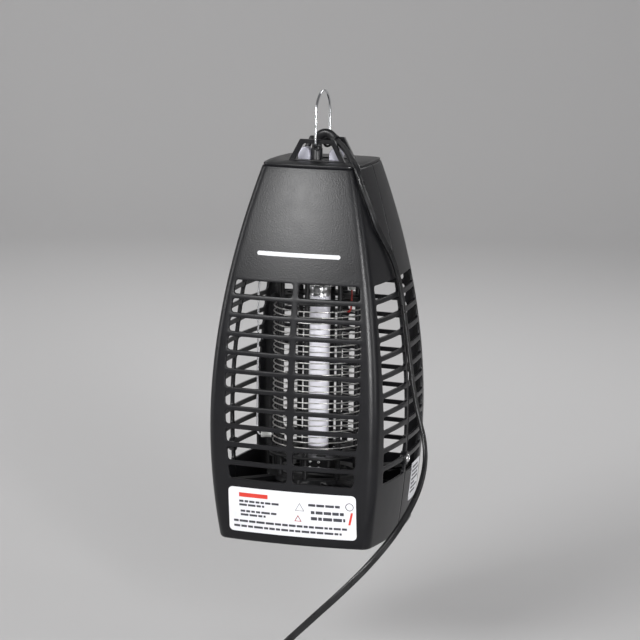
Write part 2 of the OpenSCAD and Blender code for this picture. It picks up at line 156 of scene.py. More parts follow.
# %% [markdown]
# ## Helpers that make meshes
#
# Most pieces are one of three things: a section swept along a path, a profile turned about
# an axis, or a set of patches that share their edges. Curves with a bevel could make the
# first two, but plain points keep every seam and cap under control. The helpers work in
# millimetres, and an object made with them sits at the origin with its place in its mesh.


# %% Mesh helpers
def make_object(name, points, faces, smooth_angle=35):
    """Closed mesh from millimetre points: doubles merged, faces outwards, sharp edges marked."""
    mesh = bpy.data.meshes.new(name)
    mesh.from_pydata([[c * MM for c in p] for p in points], [], faces)
    work = bmesh.new()
    work.from_mesh(mesh)
    bmesh.ops.remove_doubles(work, verts=work.verts, dist=0.004 * MM)
    bmesh.ops.recalc_face_normals(work, faces=work.faces)
    for f in work.faces:
        f.smooth = True
    for e in work.edges:
        if len(e.link_faces) == 2 and e.calc_face_angle(0) > math.radians(smooth_angle):
            e.smooth = False
    work.to_mesh(mesh)
    work.free()
    obj = bpy.data.objects.new(name, mesh)
    bpy.context.collection.objects.link(obj)
    return obj


def finish_piece(obj, material, body, slot, *replaced):
    """Gives a piece its material and its body, and hides the CAD nodes that it stands for; slot is not used."""
    obj.data.materials.clear()
    obj.data.materials.append(material)
    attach(obj, body)
    if replaced:
        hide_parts(*replaced)
    print(obj.name, len(obj.data.polygons), "faces, on", body)


# %% Sweep a section, or turn a profile
def sweep(path, section_at, up_at, closed=False):
    """Points and faces of a section carried along a path. section_at(share) gives (across, up)."""
    points, faces = [], []
    count = len(path)
    for i, p in enumerate(path):
        before = path[(i - 1) % count] if closed else path[max(i - 1, 0)]
        after = path[(i + 1) % count] if closed else path[min(i + 1, count - 1)]
        ahead = np.subtract(after, before)
        ahead = ahead / np.linalg.norm(ahead)
        across = np.cross(ahead, up_at(p, i))
        across = across / np.linalg.norm(across)
        up = np.cross(across, ahead)
        section = section_at(i / (count - 1))
        points += [np.asarray(p) + across * a + up * b for a, b in section]
    n = len(section)
    rings = count if closed else count - 1
    for i in range(rings):
        for j in range(n):
            a, b = i * n + j, i * n + (j + 1) % n
            c, d = (i + 1) % count * n + (j + 1) % n, (i + 1) % count * n + j
            faces.append((a, b, c, d))
    if not closed:
        faces.append(tuple(range(n)))
        faces.append(tuple(range((count - 1) * n, count * n)))
    return points, faces


def circle_section(radius, sides=16):
    turn = 2 * math.pi / sides
    return [(radius * math.cos(j * turn), radius * math.sin(j * turn)) for j in range(sides)]


def turned(profile, centre, axis="z", sides=48):
    """Points and faces of a profile of (radius, height) turned about an axis through centre."""
    points, faces = [], []
    for r, h in profile:
        for j in range(sides):
            a = 2 * math.pi * j / sides
            u, v = r * math.cos(a), r * math.sin(a)
            local = {"z": (u, v, h), "x": (h, u, v), "y": (v, h, u)}[axis]
            points.append(tuple(c + q for c, q in zip(centre, local)))
    for i in range(len(profile) - 1):
        for j in range(sides):
            k = (j + 1) % sides
            faces.append((i * sides + j, i * sides + k, (i + 1) * sides + k, (i + 1) * sides + j))
    if profile[0][0] > 0 and profile[-1] != profile[0]:
        faces.append(tuple(range(sides)))
        faces.append(tuple(range((len(profile) - 1) * sides, len(profile) * sides)))
    return points, faces


# %% Join parts, and smooth a path
def joined(*parts):
    """Several (points, faces) pairs as one."""
    points, faces = [], []
    for p, f in parts:
        start = len(points)
        points += list(p)
        faces += [tuple(start + i for i in face) for face in f]
    return points, faces


def smooth_path(points, step):
    """Round curve through the points, sampled about every step (Catmull-Rom, centripetal)."""
    p = [np.asarray(q, float) for q in points]
    p = [2 * p[0] - p[1], *p, 2 * p[-1] - p[-2]]
    out = []
    for i in range(1, len(p) - 2):
        t = [0.0]
        for j in range(3):
            t.append(t[-1] + np.linalg.norm(p[i + j] - p[i + j - 1]) ** 0.5)
        near = p[i - 1:i + 3]
        pieces = max(1, round(np.linalg.norm(p[i + 1] - p[i]) / step))
        for k in range(pieces):
            s = t[1] + (t[2] - t[1]) * k / pieces
            a = [(near[j] * (t[j + 1] - s) + near[j + 1] * (s - t[j])) / (t[j + 1] - t[j]) for j in range(3)]
            b = [(a[j] * (t[j + 2] - s) + a[j + 1] * (s - t[j])) / (t[j + 2] - t[j]) for j in range(2)]
            out.append((b[0] * (t[2] - s) + b[1] * (s - t[1])) / (t[2] - t[1]))
    out.append(p[-2])
    return out


# %% [markdown]
# ## Materials
#
# Nearly everything here is plastic, and plastic is told apart by its gloss and its grain. The
# grain could be painted as an image, but a noise in object coordinates keeps its real size on
# every piece and needs no unwrapping. A wide noise drives the colour and the roughness, and a
# fine one a bump. Numbers that are the same all over sit on the shader itself.


# %% Material helpers
def node_material(name):
    material = bpy.data.materials.new(name)
    material.use_nodes = True
    nodes = material.node_tree.nodes
    return material, nodes, material.node_tree.links, nodes["Principled BSDF"]


def noise(nodes, links, scale, detail=3, stretch=(1, 1, 1)):
    """Noise on object coordinates; scale is in cells per metre."""
    place = nodes.new("ShaderNodeTexCoord")
    mapping = nodes.new("ShaderNodeMapping")
    mapping.inputs["Scale"].default_value = stretch
    texture = nodes.new("ShaderNodeTexNoise")
    texture.inputs["Scale"].default_value = scale
    texture.inputs["Detail"].default_value = detail
    links.new(place.outputs["Object"], mapping.inputs["Vector"])
    links.new(mapping.outputs["Vector"], texture.inputs["Vector"])
    return texture.outputs["Fac"]


def spread(nodes, links, value, low, high):
    """Maps a noise from its usual 0.3 to 0.7 onto low to high."""
    ranged = nodes.new("ShaderNodeMapRange")
    ranged.inputs["From Min"].default_value = 0.3
    ranged.inputs["From Max"].default_value = 0.7
    ranged.inputs["To Min"].default_value = low
    ranged.inputs["To Max"].default_value = high
    links.new(value, ranged.inputs["Value"])
    return ranged.outputs["Result"]


def tint(nodes, links, value, dark, light):
    """Colour between dark and light, by a noise."""
    ramp = nodes.new("ShaderNodeValToRGB")
    ramp.color_ramp.elements[0].position = 0.3
    ramp.color_ramp.elements[1].position = 0.7
    ramp.color_ramp.elements[0].color = (*dark, 1)
    ramp.color_ramp.elements[1].color = (*light, 1)
    links.new(value, ramp.inputs["Fac"])
    return ramp.outputs["Color"]


def bump(nodes, links, height, depth, strength=1.0):
    relief = nodes.new("ShaderNodeBump")
    relief.inputs["Strength"].default_value = strength
    relief.inputs["Distance"].default_value = depth
    links.new(height, relief.inputs["Height"])
    return relief.outputs["Normal"]


# %% Plastic and metal
WIDE_CELLS = 90  # cells per metre of the slow change in colour and gloss


def plastic(name, dark, light, rough, grain, depth, coat=0.0, specular=0.5):
    """Moulded plastic: rough is (low, high), grain in cells per metre, depth in metres."""
    material, nodes, links, shader = node_material(name)
    wide = noise(nodes, links, WIDE_CELLS)
    fine = noise(nodes, links, grain, 2)
    links.new(tint(nodes, links, wide, dark, light), shader.inputs["Base Color"])
    links.new(spread(nodes, links, wide, *rough), shader.inputs["Roughness"])
    links.new(bump(nodes, links, fine, depth), shader.inputs["Normal"])
    shader.inputs["Specular IOR Level"].default_value = specular
    shader.inputs["Coat Weight"].default_value = coat
    shader.inputs["Coat Roughness"].default_value = 0.25
    return material


def metal(name, dark, light, rough, stretch=(1, 1, 1), grain=900, depth=0.00001):
    material, nodes, links, shader = node_material(name)
    brushed = noise(nodes, links, grain, 3, stretch)
    links.new(tint(nodes, links, brushed, dark, light), shader.inputs["Base Color"])
    links.new(spread(nodes, links, brushed, *rough), shader.inputs["Roughness"])
    links.new(bump(nodes, links, brushed, depth), shader.inputs["Normal"])
    shader.inputs["Metallic"].default_value = 1.0
    return material


# %% The plastics
DULL = 0.38
HOUSING = plastic(
    "housing_abs", (0.0035, 0.0035, 0.0045), (0.0055, 0.0055, 0.007), (0.32, 0.35), 1000, 0.0001, specular=DULL,
)
INNER = plastic(
    "inner_abs", (0.003, 0.003, 0.0035), (0.005, 0.005, 0.006), (0.42, 0.52), 1500, 0.00003, specular=DULL,
)
CORD = plastic("cord_pvc", (0.006, 0.006, 0.0065), (0.010, 0.010, 0.011), (0.26, 0.36), 1200, 0.00002)
CLAMP = plastic("clamp_nylon", (0.36, 0.36, 0.42), (0.46, 0.46, 0.52), (0.35, 0.5), 900, 0.00003)
WHITE = plastic("white_nylon", (0.70, 0.70, 0.68), (0.80, 0.80, 0.78), (0.35, 0.5), 900, 0.00002)
BOARD = plastic("board_laminate", (0.16, 0.22, 0.06), (0.22, 0.28, 0.09), (0.3, 0.4), 700, 0.00003)
CAPACITOR = plastic("capacitor_dip", (0.50, 0.16, 0.02), (0.60, 0.22, 0.03), (0.15, 0.25), 400, 0.00005)
RESISTOR = plastic("resistor_body", (0.50, 0.40, 0.22), (0.60, 0.50, 0.30), (0.4, 0.6), 700, 0.00004)
DIODE = plastic("diode_body", (0.012, 0.012, 0.013), (0.02, 0.02, 0.021), (0.3, 0.4), 900, 0.00003)
RED_LEAD = plastic("red_lead", (0.35, 0.02, 0.015), (0.45, 0.03, 0.02), (0.3, 0.4), 900, 0.00002)
GREY_LEAD = plastic("grey_lead", (0.50, 0.50, 0.52), (0.60, 0.60, 0.62), (0.3, 0.4), 900, 0.00002)
PAPER = plastic("label_paper", (0.70, 0.70, 0.73), (0.76, 0.76, 0.79), (0.3, 0.42), 800, 0.00001)
INK = plastic("dark_ink", (0.03, 0.03, 0.04), (0.05, 0.05, 0.06), (0.4, 0.5), 800, 0.00001)
RED_INK = plastic("red_ink", (0.55, 0.03, 0.02), (0.65, 0.05, 0.03), (0.4, 0.5), 800, 0.00001)
SILVER_INK = plastic("silver_ink", (0.48, 0.49, 0.51), (0.62, 0.63, 0.65), (0.3, 0.4), 1500, 0.00002)
LAMP = plastic(
    "phosphor_glass_painted_glow", (0.84, 0.83, 0.90), (0.90, 0.89, 0.95), (0.16, 0.22), 300, 0.000005, coat=0.6,
)
# The weak emission on the glass is a painted glow: the lamp is not lit, and this only makes the tube brighter.
lamp_painted_glow_shader = LAMP.node_tree.nodes["Principled BSDF"]
lamp_painted_glow_shader.inputs["Emission Color"].default_value = (0.86, 0.84, 0.95, 1)
lamp_painted_glow_shader.inputs["Emission Strength"].default_value = 0.10

# %% The metals
WIRE = metal("bail_wire", (0.60, 0.61, 0.63), (0.78, 0.79, 0.81), (0.12, 0.24))
SCREW = metal("screw_zinc", (0.62, 0.62, 0.63), (0.82, 0.82, 0.83), (0.2, 0.35), grain=2500)
CAGE = metal("cage_wire", (0.52, 0.51, 0.50), (0.74, 0.73, 0.71), (0.3, 0.42), grain=400)
LAMP_METAL = metal("lamp_metal", (0.60, 0.60, 0.61), (0.72, 0.72, 0.73), (0.25, 0.4), (1, 1, 8))
PIN = metal("pin_nickel", (0.70, 0.68, 0.64), (0.82, 0.80, 0.76), (0.12, 0.25))
COPPER = metal("copper_winding", (0.50, 0.20, 0.07), (0.72, 0.34, 0.14), (0.25, 0.45), (1, 1, 12))
CORE = metal("core_steel", (0.20, 0.20, 0.21), (0.32, 0.32, 0.33), (0.4, 0.6), (12, 1, 1))
print(len(bpy.data.materials), "materials")

# %% [markdown]
# ## The mains cord
#
# The cord is a flat two-core flex, 1.47 m long in all. A simulation could let it fall, but
# it would settle differently after each small change, so its route is a list of points where
# it hangs, and its coil is worked out by a loop. The cord leaves the boot on top, bridges the
# front right corner, hangs down the right side, swings in front of the base and comes down
# onto the surface, where the rest is wound up in two layers under the housing.

# %% The cord's route, in millimetres
CORD_W, CORD_T = 5.4, 3.2
SURFACE = -456.0
COIL_X, COIL_Y, COIL_R = -16.0, -58.0, 38.5
COIL_STEP = 5.6
COIL_IN, COIL_OUT, COIL_H = 23.4, 41.3, 6.5
COIL_LIFT = 0.8
LOWER_Z = SURFACE + COIL_LIFT + CORD_T / 2
UPPER_Z = LOWER_Z + CORD_T + 0.1

route = [
    (12.4, -5, -36.4), (17.4, -9, -39.2), (22, -14.5, -41.6), (27.5, -21.5, -44.6),
    (33.8, -30.5, -49.4), (37.6, -35, -51.2), (41, -38.2, -57), (44.2, -38.2, -66.5),
    (47.6, -35.5, -77), (50.5, -32.5, -87), (53.8, -30, -98), (57.5, -21, -111),
    (61.5, -11.5, -125), (64.8, -5, -141), (67.6, -2.5, -158), (70.2, -1.5, -175.5),
    (72.4, -1, -191.5), (74.6, -1, -207.5), (77, -1, -224), (80, -1, -240),
    (84, -2, -255), (88.5, -5, -269), (91.5, -12, -284), (92, -26, -300),
    (89, -46, -316), (82, -68, -333), (68, -86, -353), (50, -95, -373),
    (31, -98, -392), (13, -98.5, -410), (-4, -97.5, -427), (-20, -95, -440),
    (-34, -90, -448),
]
lead = [(-8, -19.8, -452), (0, -20.3, -450.8), (8, -20.8, -449.6), (14, -21, -449.2)]
print(len(route), "points from the boot to the coil,", len(lead), "from the coil to the plug")


# %% The coil's turns
def coil_turns(start, end, radius, step, height_at):
    """Clockwise turns from one angle to a lower one; the radius changes by step each turn."""
    count = round((start - end) / 6)
    turns = []
    for i in range(count + 1):
        share = i / count
        angle = math.radians(start + (end - start) * share)
        r = radius + step * (start - end) / 360 * share
        turns.append((COIL_X + r * math.cos(angle), COIL_Y + r * math.sin(angle), height_at(share)))
    return turns


def settle(share):
    """Height of the lower layer: it drops from the upper one over its first tenth."""
    drop = min(1.0, share / 0.10)
    return UPPER_Z + (LOWER_Z - UPPER_Z) * drop * drop * (3 - 2 * drop)


upper_turns, lower_turns = 2.2, 2.161
first = -140.0
between = first - 360 * upper_turns
inner_r = COIL_R - COIL_STEP * upper_turns
upper = coil_turns(first, between, COIL_R, -COIL_STEP, lambda share: UPPER_Z)
lower = coil_turns(between, between - 360 * lower_turns, inner_r, COIL_STEP, settle)
cord_path = smooth_path([*route, *upper[::2], *lower[2::2], *lead], 2.2)

# %% [markdown]
# The section is two cores side by side under one sheath, so it has round edges and a slight
# waist. Its thin side always faces away from the housing, and turns flat where it lies.


# %% The cord's mesh
def flat_section(width, thickness, waist=0.22, sides=24):
    """Flat flex: round edges, and a waist between the two cores."""
    points = []
    for j in range(sides):
        a = 2 * math.pi * (j + 0.5) / sides
        x = width / 2 * math.copysign(abs(math.cos(a)) ** 0.72, math.cos(a))
        y = thickness / 2 * math.copysign(abs(math.sin(a)) ** 0.62, math.sin(a))
        y *= 1 - waist * math.exp(-((x / (0.16 * width)) ** 2))
        points.append((x, y))
    return points


def away(p, i=0):
    """The way the cord's thin side faces: up on the cap and on the surface, outwards between."""
    high = max(0.0, min(1.0, (p[2] + 75) / 25))
    low = max(0.0, min(1.0, (-400 - p[2]) / 45))
    return np.array([p[0] * (1 - low), p[1] * (1 - low), 90 * high + 150 * low])


flex = make_object("mains_cord", *sweep(cord_path, lambda share: flat_section(CORD_W, CORD_T), away))
finish_piece(flex, CORD, "housing", "cord_pvc", "power_cord", "cord_coil", "plug_lead")

# %% [markdown]
# ## The plug
#
# The flat flex ends in a slim two-pin plug, the kind that is moulded onto this flex. It could
# be carved from a box, but its body swells and shrinks all along, so it is a loft of rounded
# sections. Its strain relief is ribbed, so that it bends evenly.


# %% Plug
def soft_section(half_w, half_t, power=4.0, sides=40):
    """Rounded rectangle as a superellipse."""
    points = []
    for j in range(sides):
        a = 2 * math.pi * j / sides
        c, s = math.cos(a), math.sin(a)
        x = half_w * math.copysign(abs(c) ** (2 / power), c)
        points.append((x, half_t * math.copysign(abs(s) ** (2 / power), s)))
    return points


plug_low, plug_high = (np.array(c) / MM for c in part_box("plug_body"))
pins_low = np.array(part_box("plug_pins")[0]) / MM
plug_y = (plug_low[1] + plug_high[1]) / 2
plug_z = (plug_low[2] + plug_high[2]) / 2
SLEEVE_L, BODY_L, PIN_Y = 9.5, 35.6, 9.3
RIBS, RIB_PITCH = 7, 3.3
PLUG_SIDES = 40
relief_x = plug_low[0]
face_x = pins_low[0] - SLEEVE_L
body_x = face_x - BODY_L

stations = [(relief_x, 3.3, 2.3, 2.4)]
for rib in range(RIBS):
    x = relief_x + 3 + rib * RIB_PITCH
    w = 3.5 + 0.33 * rib
    stations += [(x, w, w * 0.8, 2.6), (x + 1.9, w + 0.25, w * 0.8 + 0.25, 2.6)]
    stations += [(x + 2.1, w - 0.45, w * 0.8 - 0.45, 2.6), (x + 3.1, w - 0.35, w * 0.8 - 0.35, 2.6)]
body = [
    (0, 6.4, 5.0, 3.0), (3, 8.6, 6.2, 3.4), (8, 12.2, 6.7, 4), (14, 15.6, 6.75, 5), (20, 17.2, 6.78, 6),
    (27, 17.55, 6.8, 7), (34.4, 17.55, 6.8, 7), (35.2, 17.3, 6.5, 7), (BODY_L, 16.7, 6.0, 7),
]
stations += [(body_x + x, w, t, power) for x, w, t, power in body]
plug_points, plug_faces = [], []
for x, w, t, power in stations:
    section = soft_section(w, t, power, PLUG_SIDES)
    plug_points += [(x, plug_y + a, plug_z + b) for a, b in section]
for i in range(len(stations) - 1):
    a, b = i * PLUG_SIDES, (i + 1) * PLUG_SIDES
    for j in range(PLUG_SIDES):
        k = (j + 1) % PLUG_SIDES
        plug_faces.append((a + j, a + k, b + k, b + j))
plug_faces += [tuple(range(PLUG_SIDES)), tuple(range(len(plug_points) - PLUG_SIDES, len(plug_points)))]
print("plug loft:", len(stations), "sections")

# %% Plug: its pins and their sleeves
sleeve = [(0.0, -1.0), (1.9, -1.0), (1.9, 9.3), (1.75, SLEEVE_L), (0.0, SLEEVE_L)]
pin_tip = [(0.0, 8.0), (1.6, 8.0), (2.0, 9.6), (2.0, 17.2), (1.7, 18.3), (0.9, 18.95), (0.0, 19.0)]
pin_places = [(face_x, plug_y + side * PIN_Y, plug_z) for side in (-1, 1)]
sleeves = [turned(sleeve, c, "x", 28) for c in pin_places]
plug = make_object("mains_plug", *joined((plug_points, plug_faces), *sleeves))
finish_piece(plug, CORD, "housing", "cord_pvc", "plug_body")
pins = make_object("plug_pin_tips", *joined(*[turned(pin_tip, c, "x", 28) for c in pin_places]))
finish_piece(pins, PIN, "housing", "pin_metal", "plug_pins")

# %% [markdown]
# ## The tie and the boot
#
# One soft strap holds the coil. It is a thin section swept round the coil's own section. The
# boot on top of the zapper is smooth and thick where it leaves the spigot and fits the flex at
# its far end. A sweep makes it as well, with a section that changes on the way.

# %% Cord tie: a soft strap round the coil's section
tie_angle = math.radians(-20)
tie_r = (COIL_IN + COIL_OUT) / 2
tie_span = (COIL_OUT - COIL_IN) / 2 + 0.35
tie_h = COIL_H / 2 + 0.3
tie_z = SURFACE + COIL_LIFT + COIL_H / 2
tie_path = []
for a, b in soft_section(tie_span, tie_h, 6, 48):
    r = tie_r + a
    tie_path.append((COIL_X + r * math.cos(tie_angle), COIL_Y + r * math.sin(tie_angle), tie_z + b))
along_coil = np.array([-math.sin(tie_angle), math.cos(tie_angle), 0])
strap = [(-0.25, -3.8), (0.25, -3.8), (0.25, 3.8), (-0.25, 3.8)]
tie = make_object("cord_strap", *sweep(tie_path, lambda share: strap, lambda p, i: along_coil, closed=True))
finish_piece(tie, WHITE, "housing", "tie_plastic", "cord_tie")

# %% Boot: the smooth strain relief that bends the cord over to the side
boot_route = [
    (-4.5, 0, -44), (-4.5, 0, -40), (-3.6, -0.2, -36.2), (-1, -0.7, -33.2),
    (2.5, -1.2, -31.9), (6, -2, -32.3), (9.2, -3.2, -34), (12.4, -5, -36.4),
]
boot_path = smooth_path(boot_route, 0.45)
BOOT_R = 3.9


def boot_section(share):
    """Round at the spigot, flat at the flex, with a small lip at its end."""
    lip = 0.35 if share > 0.95 else 0.0
    w = BOOT_R + (CORD_W / 2 + 0.5 - BOOT_R) * share + lip
    t = BOOT_R + (CORD_T / 2 + 0.55 - BOOT_R) * share + lip
    return soft_section(w, t, 2.4, 28)


boot = make_object("cord_boot", *sweep(boot_path, boot_section, lambda p, i: np.array([-0.15, 1, 0.0])), 40)
finish_piece(boot, CORD, "housing", "cord_pvc", "cord_gland")

# %% [markdown]
# ## One cell of the grille
#
# The grille repeats one thing: a slot with round corners in a wall. Eighty-eight cuts with a
# boolean would work, but they leave sharp, untidy edges. So one cell is made flat, as rings of
# points that lead from the cell's edge over a rounded lip, through the wall and out to the
# edge again on the inner side. Geometry Nodes then stack the cells into a column.

# %% The cell, flat: x across from the middle bar, y upwards, z outwards
ROWS = 11
FIRST_ROW, ROW_PITCH = 94.5, 14.4
SLOT_H, SLOT_REACH, REACH_DROP, SLOT_R, BAR_W = 10.7, 54.7, 4.0, 2.4, 5.0
CELL_W = 57.0
GRILLE_TOP = FIRST_ROW - ROW_PITCH / 2
GRILLE_END = GRILLE_TOP + ROWS * ROW_PITCH
LIP = [(0.60, 0.0), (0.30, 0.07), (0.08, 0.28), (0.0, 0.6), (0.0, WALL - 0.3), (0.2, WALL)]
LONG_SIDE = 9
MARGIN = 1.9
corner_x = SLOT_REACH - SLOT_R
bar_x = BAR_W / 2 + SLOT_R
corner_y = SLOT_H / 2 - SLOT_R
edge_y = ROW_PITCH / 2
middle_xs = [bar_x + (corner_x - bar_x) * i / LONG_SIDE for i in range(1, LONG_SIDE)]
cell_xs = [0, BAR_W / 2, bar_x, *middle_xs, corner_x, corner_x + MARGIN, CELL_W]
cell_ys = [-edge_y, -corner_y - MARGIN, -corner_y, 0, corner_y, corner_y + MARGIN, edge_y]


def slot_ring(grow):
    """Outline of the slot, grown by a little, anticlockwise from the middle of its outer end."""
    points = [(SLOT_REACH + grow, 0)]
    for cx, cy, start, run in (
        (corner_x, corner_y, 0, reversed(middle_xs)), (bar_x, corner_y, 90, None),
        (bar_x, -corner_y, 180, middle_xs), (corner_x, -corner_y, 270, None),
    ):
        for j in range(5):
            a = math.radians(start + j * 22.5)
            points.append((cx + (SLOT_R + grow) * math.cos(a), cy + (SLOT_R + grow) * math.sin(a)))
        if run is not None:
            points += [(x, math.copysign(SLOT_H / 2 + grow, cy)) for x in run]
        elif start == 90:
            points.append((BAR_W / 2 - grow, 0))
    return points


def edge_ring():
    """The cell's own edge, with one point for each point of the slot's outline."""
    right = [(CELL_W, 0), (CELL_W, corner_y), (CELL_W, corner_y + MARGIN), (CELL_W, edge_y)]
    top = [(x, edge_y) for x in [corner_x + MARGIN, corner_x, *reversed(middle_xs), bar_x, BAR_W / 2]]
    left = [(0, y) for y in reversed(cell_ys)]
    bottom = [(x, -edge_y) for x in [BAR_W / 2, bar_x, *middle_xs, corner_x, corner_x + MARGIN]]
    last = [(CELL_W, -edge_y), (CELL_W, -corner_y - MARGIN), (CELL_W, -corner_y)]
    return [*right, *top, *left, *bottom, *last]


print("the slot's outline has", len(slot_ring(0)), "points, the cell's edge", len(edge_ring()))

# %% The cell's mesh

rings = [[(x, y, 0) for x, y in edge_ring()]]
rings += [[(x, y, -deep) for x, y in slot_ring(grow)] for grow, deep in LIP]
rings += [[(x, y, -WALL) for x, y in edge_ring()]]
count = len(rings[0])
cell_points = [p for ring in rings for p in ring]
cell_faces = [
    (i * count + j, i * count + (j + 1) % count, (i + 1) * count + (j + 1) % count, (i + 1) * count + j)
    for i in range(len(rings) - 1) for j in range(count)
]
cell_mesh = bpy.data.meshes.new("slot_cell")
cell_mesh.from_pydata(cell_points, [], cell_faces)
slot_cell = bpy.data.objects.new("slot_cell", cell_mesh)
bpy.context.collection.objects.link(slot_cell)
print("one cell:", len(rings), "rings of", count, "points")

# %% [markdown]
# ## Geometry Nodes
#
# Two helpers start and end each node tree: named inputs first, then Realize Instances and Set
# Material. A third runs the tree once and keeps its result as a plain mesh, so that nothing
# is worked out again later.


# %% Geometry Nodes helpers
def start_tree(name, inputs):
    """New node group with named inputs of (socket type, default), and a geometry output."""
    tree = bpy.data.node_groups.new(name, "GeometryNodeTree")
    for label, (kind, value) in inputs.items():
        socket = tree.interface.new_socket(label, in_out="INPUT", socket_type=kind)
        if value is not None:
            socket.default_value = value
    tree.interface.new_socket("Geometry", in_out="OUTPUT", socket_type="NodeSocketGeometry")
    source = tree.nodes.new("NodeGroupInput")
    return tree, source.outputs, tree.links.new


def end_tree(tree, geometry, material):
    """Realize Instances and Set Material, which every tree ends in."""
    real = tree.nodes.new("GeometryNodeRealizeInstances")
    paint = tree.nodes.new("GeometryNodeSetMaterial")
    paint.inputs["Material"].default_value = material
    out = tree.nodes.new("NodeGroupOutput")
    tree.links.new(geometry, real.inputs["Geometry"])
    tree.links.new(real.outputs["Geometry"], paint.inputs["Geometry"])
    tree.links.new(paint.outputs["Geometry"], out.inputs["Geometry"])


def grow_mesh(name, tree, values):
    """Runs a tree on an empty object and returns its result as a plain mesh."""
    holder = bpy.data.objects.new(name, bpy.data.meshes.new(name))
    bpy.context.collection.objects.link(holder)
    modifier = holder.modifiers.new("nodes", "NODES")
    modifier.node_group = tree
    for item in tree.interface.items_tree:
        if item.in_out == "INPUT" and item.name in values:
            modifier[item.identifier] = values[item.name]
    bpy.context.view_layer.update()
    evaluated = holder.evaluated_get(bpy.context.evaluated_depsgraph_get())
    mesh = bpy.data.meshes.new_from_object(evaluated)
    bpy.data.objects.remove(holder)
    mesh.name = name
    return mesh


# %% Stack the cells into a column
tree, given, link = start_tree("slot_column", {
    "Cell": ("NodeSocketObject", None),
    "Rows": ("NodeSocketInt", ROWS),
    "Pitch": ("NodeSocketFloat", ROW_PITCH),
})
info = tree.nodes.new("GeometryNodeObjectInfo")
drop = tree.nodes.new("ShaderNodeMath")
drop.operation = "MULTIPLY"
drop.inputs[1].default_value = -1
offset = tree.nodes.new("ShaderNodeCombineXYZ")
line = tree.nodes.new("GeometryNodeMeshLine")
spots = tree.nodes.new("GeometryNodeInstanceOnPoints")
link(given["Cell"], info.inputs["Object"])
link(given["Pitch"], drop.inputs[0])
link(drop.outputs["Value"], offset.inputs["Y"])
link(given["Rows"], line.inputs["Count"])
link(offset.outputs["Vector"], line.inputs["Offset"])
link(line.outputs["Mesh"], spots.inputs["Points"])
link(info.outputs["Geometry"], spots.inputs["Instance"])
end_tree(tree, spots.outputs["Instances"], HOUSING)
column_mesh = grow_mesh("slot_column", tree, {"Cell": slot_cell, "Rows": ROWS, "Pitch": ROW_PITCH})
column = [(v.co.x, FIRST_ROW - v.co.y, -v.co.z) for v in column_mesh.vertices]
column_faces = [tuple(f.vertices) for f in column_mesh.polygons]
bpy.data.objects.remove(slot_cell)
bpy.data.meshes.remove(column_mesh)
print("column:", len(column), "points")

# %% [markdown]
# ## The two shells
#
# The column is bent onto the housing with the outline rule, once for each half of each face.
# Plain patches fill the panel above, the panel below and the strip to the corner, with the
# same points along their shared edges, so that each shell closes into one solid wall.

# %% Bend flat patches onto the housing
STRIP = 9
RIM_TOP = CAP_T + SEAM
RIM_H = 2.4
upper_depths = [GRILLE_TOP - (GRILLE_TOP - RIM_TOP - 1) * i / 18 for i in range(1, 19)]
lower_depths = [GRILLE_END + (HEIGHT - RIM_H - GRILLE_END) * i / 10 for i in range(1, 11)]
grille_depths = [GRILLE_TOP]
for row in range(ROWS):
    grille_depths += [FIRST_ROW + ROW_PITCH * row - y for y in reversed(cell_ys[:-1])]
top_rim = [(RIM_TOP + 0.35, 0.05), (RIM_TOP + 0.08, 0.3), (RIM_TOP, 0.6), (RIM_TOP, WALL)]
low_rim = [(HEIGHT - 1.5, 0.12), (HEIGHT - 0.8, 0.4), (HEIGHT - 0.3, 0.8), (HEIGHT, 1.3), (HEIGHT, WALL)]
inner_upper = [(d, WALL) for d in reversed(upper_depths)]
inner_lower = [(d, WALL) for d in reversed(lower_depths)]
upper_path = [(GRILLE_TOP, 0), *[(d, 0) for d in upper_depths], *top_rim, *inner_upper, (GRILLE_TOP, WALL)]
lower_path = [(GRILLE_END, 0), *[(d, 0) for d in lower_depths], *low_rim, *inner_lower, (GRILLE_END, WALL)]
strip_path = (
    [(d, 0.0) for d in reversed(upper_depths)] + [(d, 0.0) for d in grille_depths]
    + [(d, 0.0) for d in lower_depths] + low_rim + inner_lower
    + [(d, WALL) for d in reversed(grille_depths)] + [(d, WALL) for d in upper_depths]
    + list(reversed(top_rim))
)
print(len(grille_depths), "levels in the grille,", len(strip_path), "points round the strip's wall")


# %% Where a flat point falls on the housing
def along_face(x, depth):
    """Where a flat patch's x falls on the housing: the slots' own width, then on to the corner."""
    zone = min(max(depth, GRILLE_TOP), GRILLE_END)
    middle, span = FIRST_ROW + ROW_PITCH * (ROWS - 1) / 2, ROW_PITCH * (ROWS - 1) / 2
    width = CELL_W * (1 - REACH_DROP / SLOT_REACH * ((zone - middle) / span) ** 2)
    edge = width / reach(zone) * reach(depth)
    if x <= CELL_W:
        return x / CELL_W * edge
    return edge + (x - CELL_W) / STRIP * (reach(depth) - edge)


def patch(xs, path, closed=False):
    """Grid of (x, depth, inset) points between lines of equal x and a path across the wall."""
    points = [(x, d, i) for x in xs for d, i in path]
    n = len(path)
    last = n if closed else n - 1
    faces = [
        (i * n + j, i * n + (j + 1) % n, (i + 1) * n + (j + 1) % n, (i + 1) * n + j)
        for i in range(len(xs) - 1) for j in range(last)
    ]
    return points, faces


half_face = joined(
    (column, column_faces), patch(cell_xs, upper_path), patch(cell_xs, lower_path),
    patch([CELL_W + i for i in range(STRIP + 1)], strip_path, closed=True),
)
print("half a face:", len(half_face[0]), "points")


# %% Shell halves
JOINT = 0.35  # how far each shell's outer edge stands back from the joint


def bent(face, side, seam=0.0):
    """Half a face bent onto the housing. With a seam, its middle edge is drawn back from the joint."""
    points, faces = half_face
    out = []
    for x, depth, inset in points:
        on_joint = seam and x < 1e-6
        along = (seam if inset < WALL - 1e-6 else 0.03) if on_joint else along_face(x, depth)
        out.append(skin(face, side * along, depth, inset))
    return out, faces


